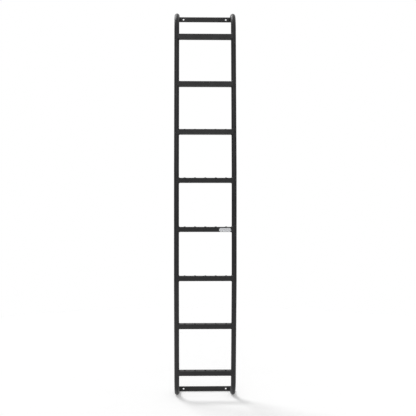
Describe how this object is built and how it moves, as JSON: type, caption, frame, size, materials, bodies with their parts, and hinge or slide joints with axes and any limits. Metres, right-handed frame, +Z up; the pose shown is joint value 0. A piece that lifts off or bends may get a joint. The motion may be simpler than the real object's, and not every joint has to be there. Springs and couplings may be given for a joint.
{
  "type": "van side ladder",
  "caption": "Tall bowed tube ladder with square rungs, raised traction holes and a drilled mounting bar at each end, for bolting to the side of a high-roof van.",
  "frame": {"origin": "centre of the lower mounting bar's back face, which lies on the van", "axes": "+X to the right of someone facing the ladder, +Y towards the van, +Z up along the ladder"},
  "size_m": [0.3556, 0.2607, 2.2486],
  "materials": {
    "powder_coat": "satin black powder coat on aluminium tube and bar",
    "badge": "satin silver plate with a raised rim and a plain field"
  },
  "bodies": {
    "root": {"left_stile": "powder_coat", "right_stile": "powder_coat", "rung_1": "powder_coat", "rung_2": "powder_coat", "rung_3": "powder_coat", "rung_4": "powder_coat", "rung_5": "powder_coat", "rung_6": "powder_coat", "rung_7": "powder_coat", "rung_8": "powder_coat", "lower_mounting_bar": "powder_coat", "upper_mounting_bar": "powder_coat", "badge_plate": "badge"}
  },
  "joints": []
}
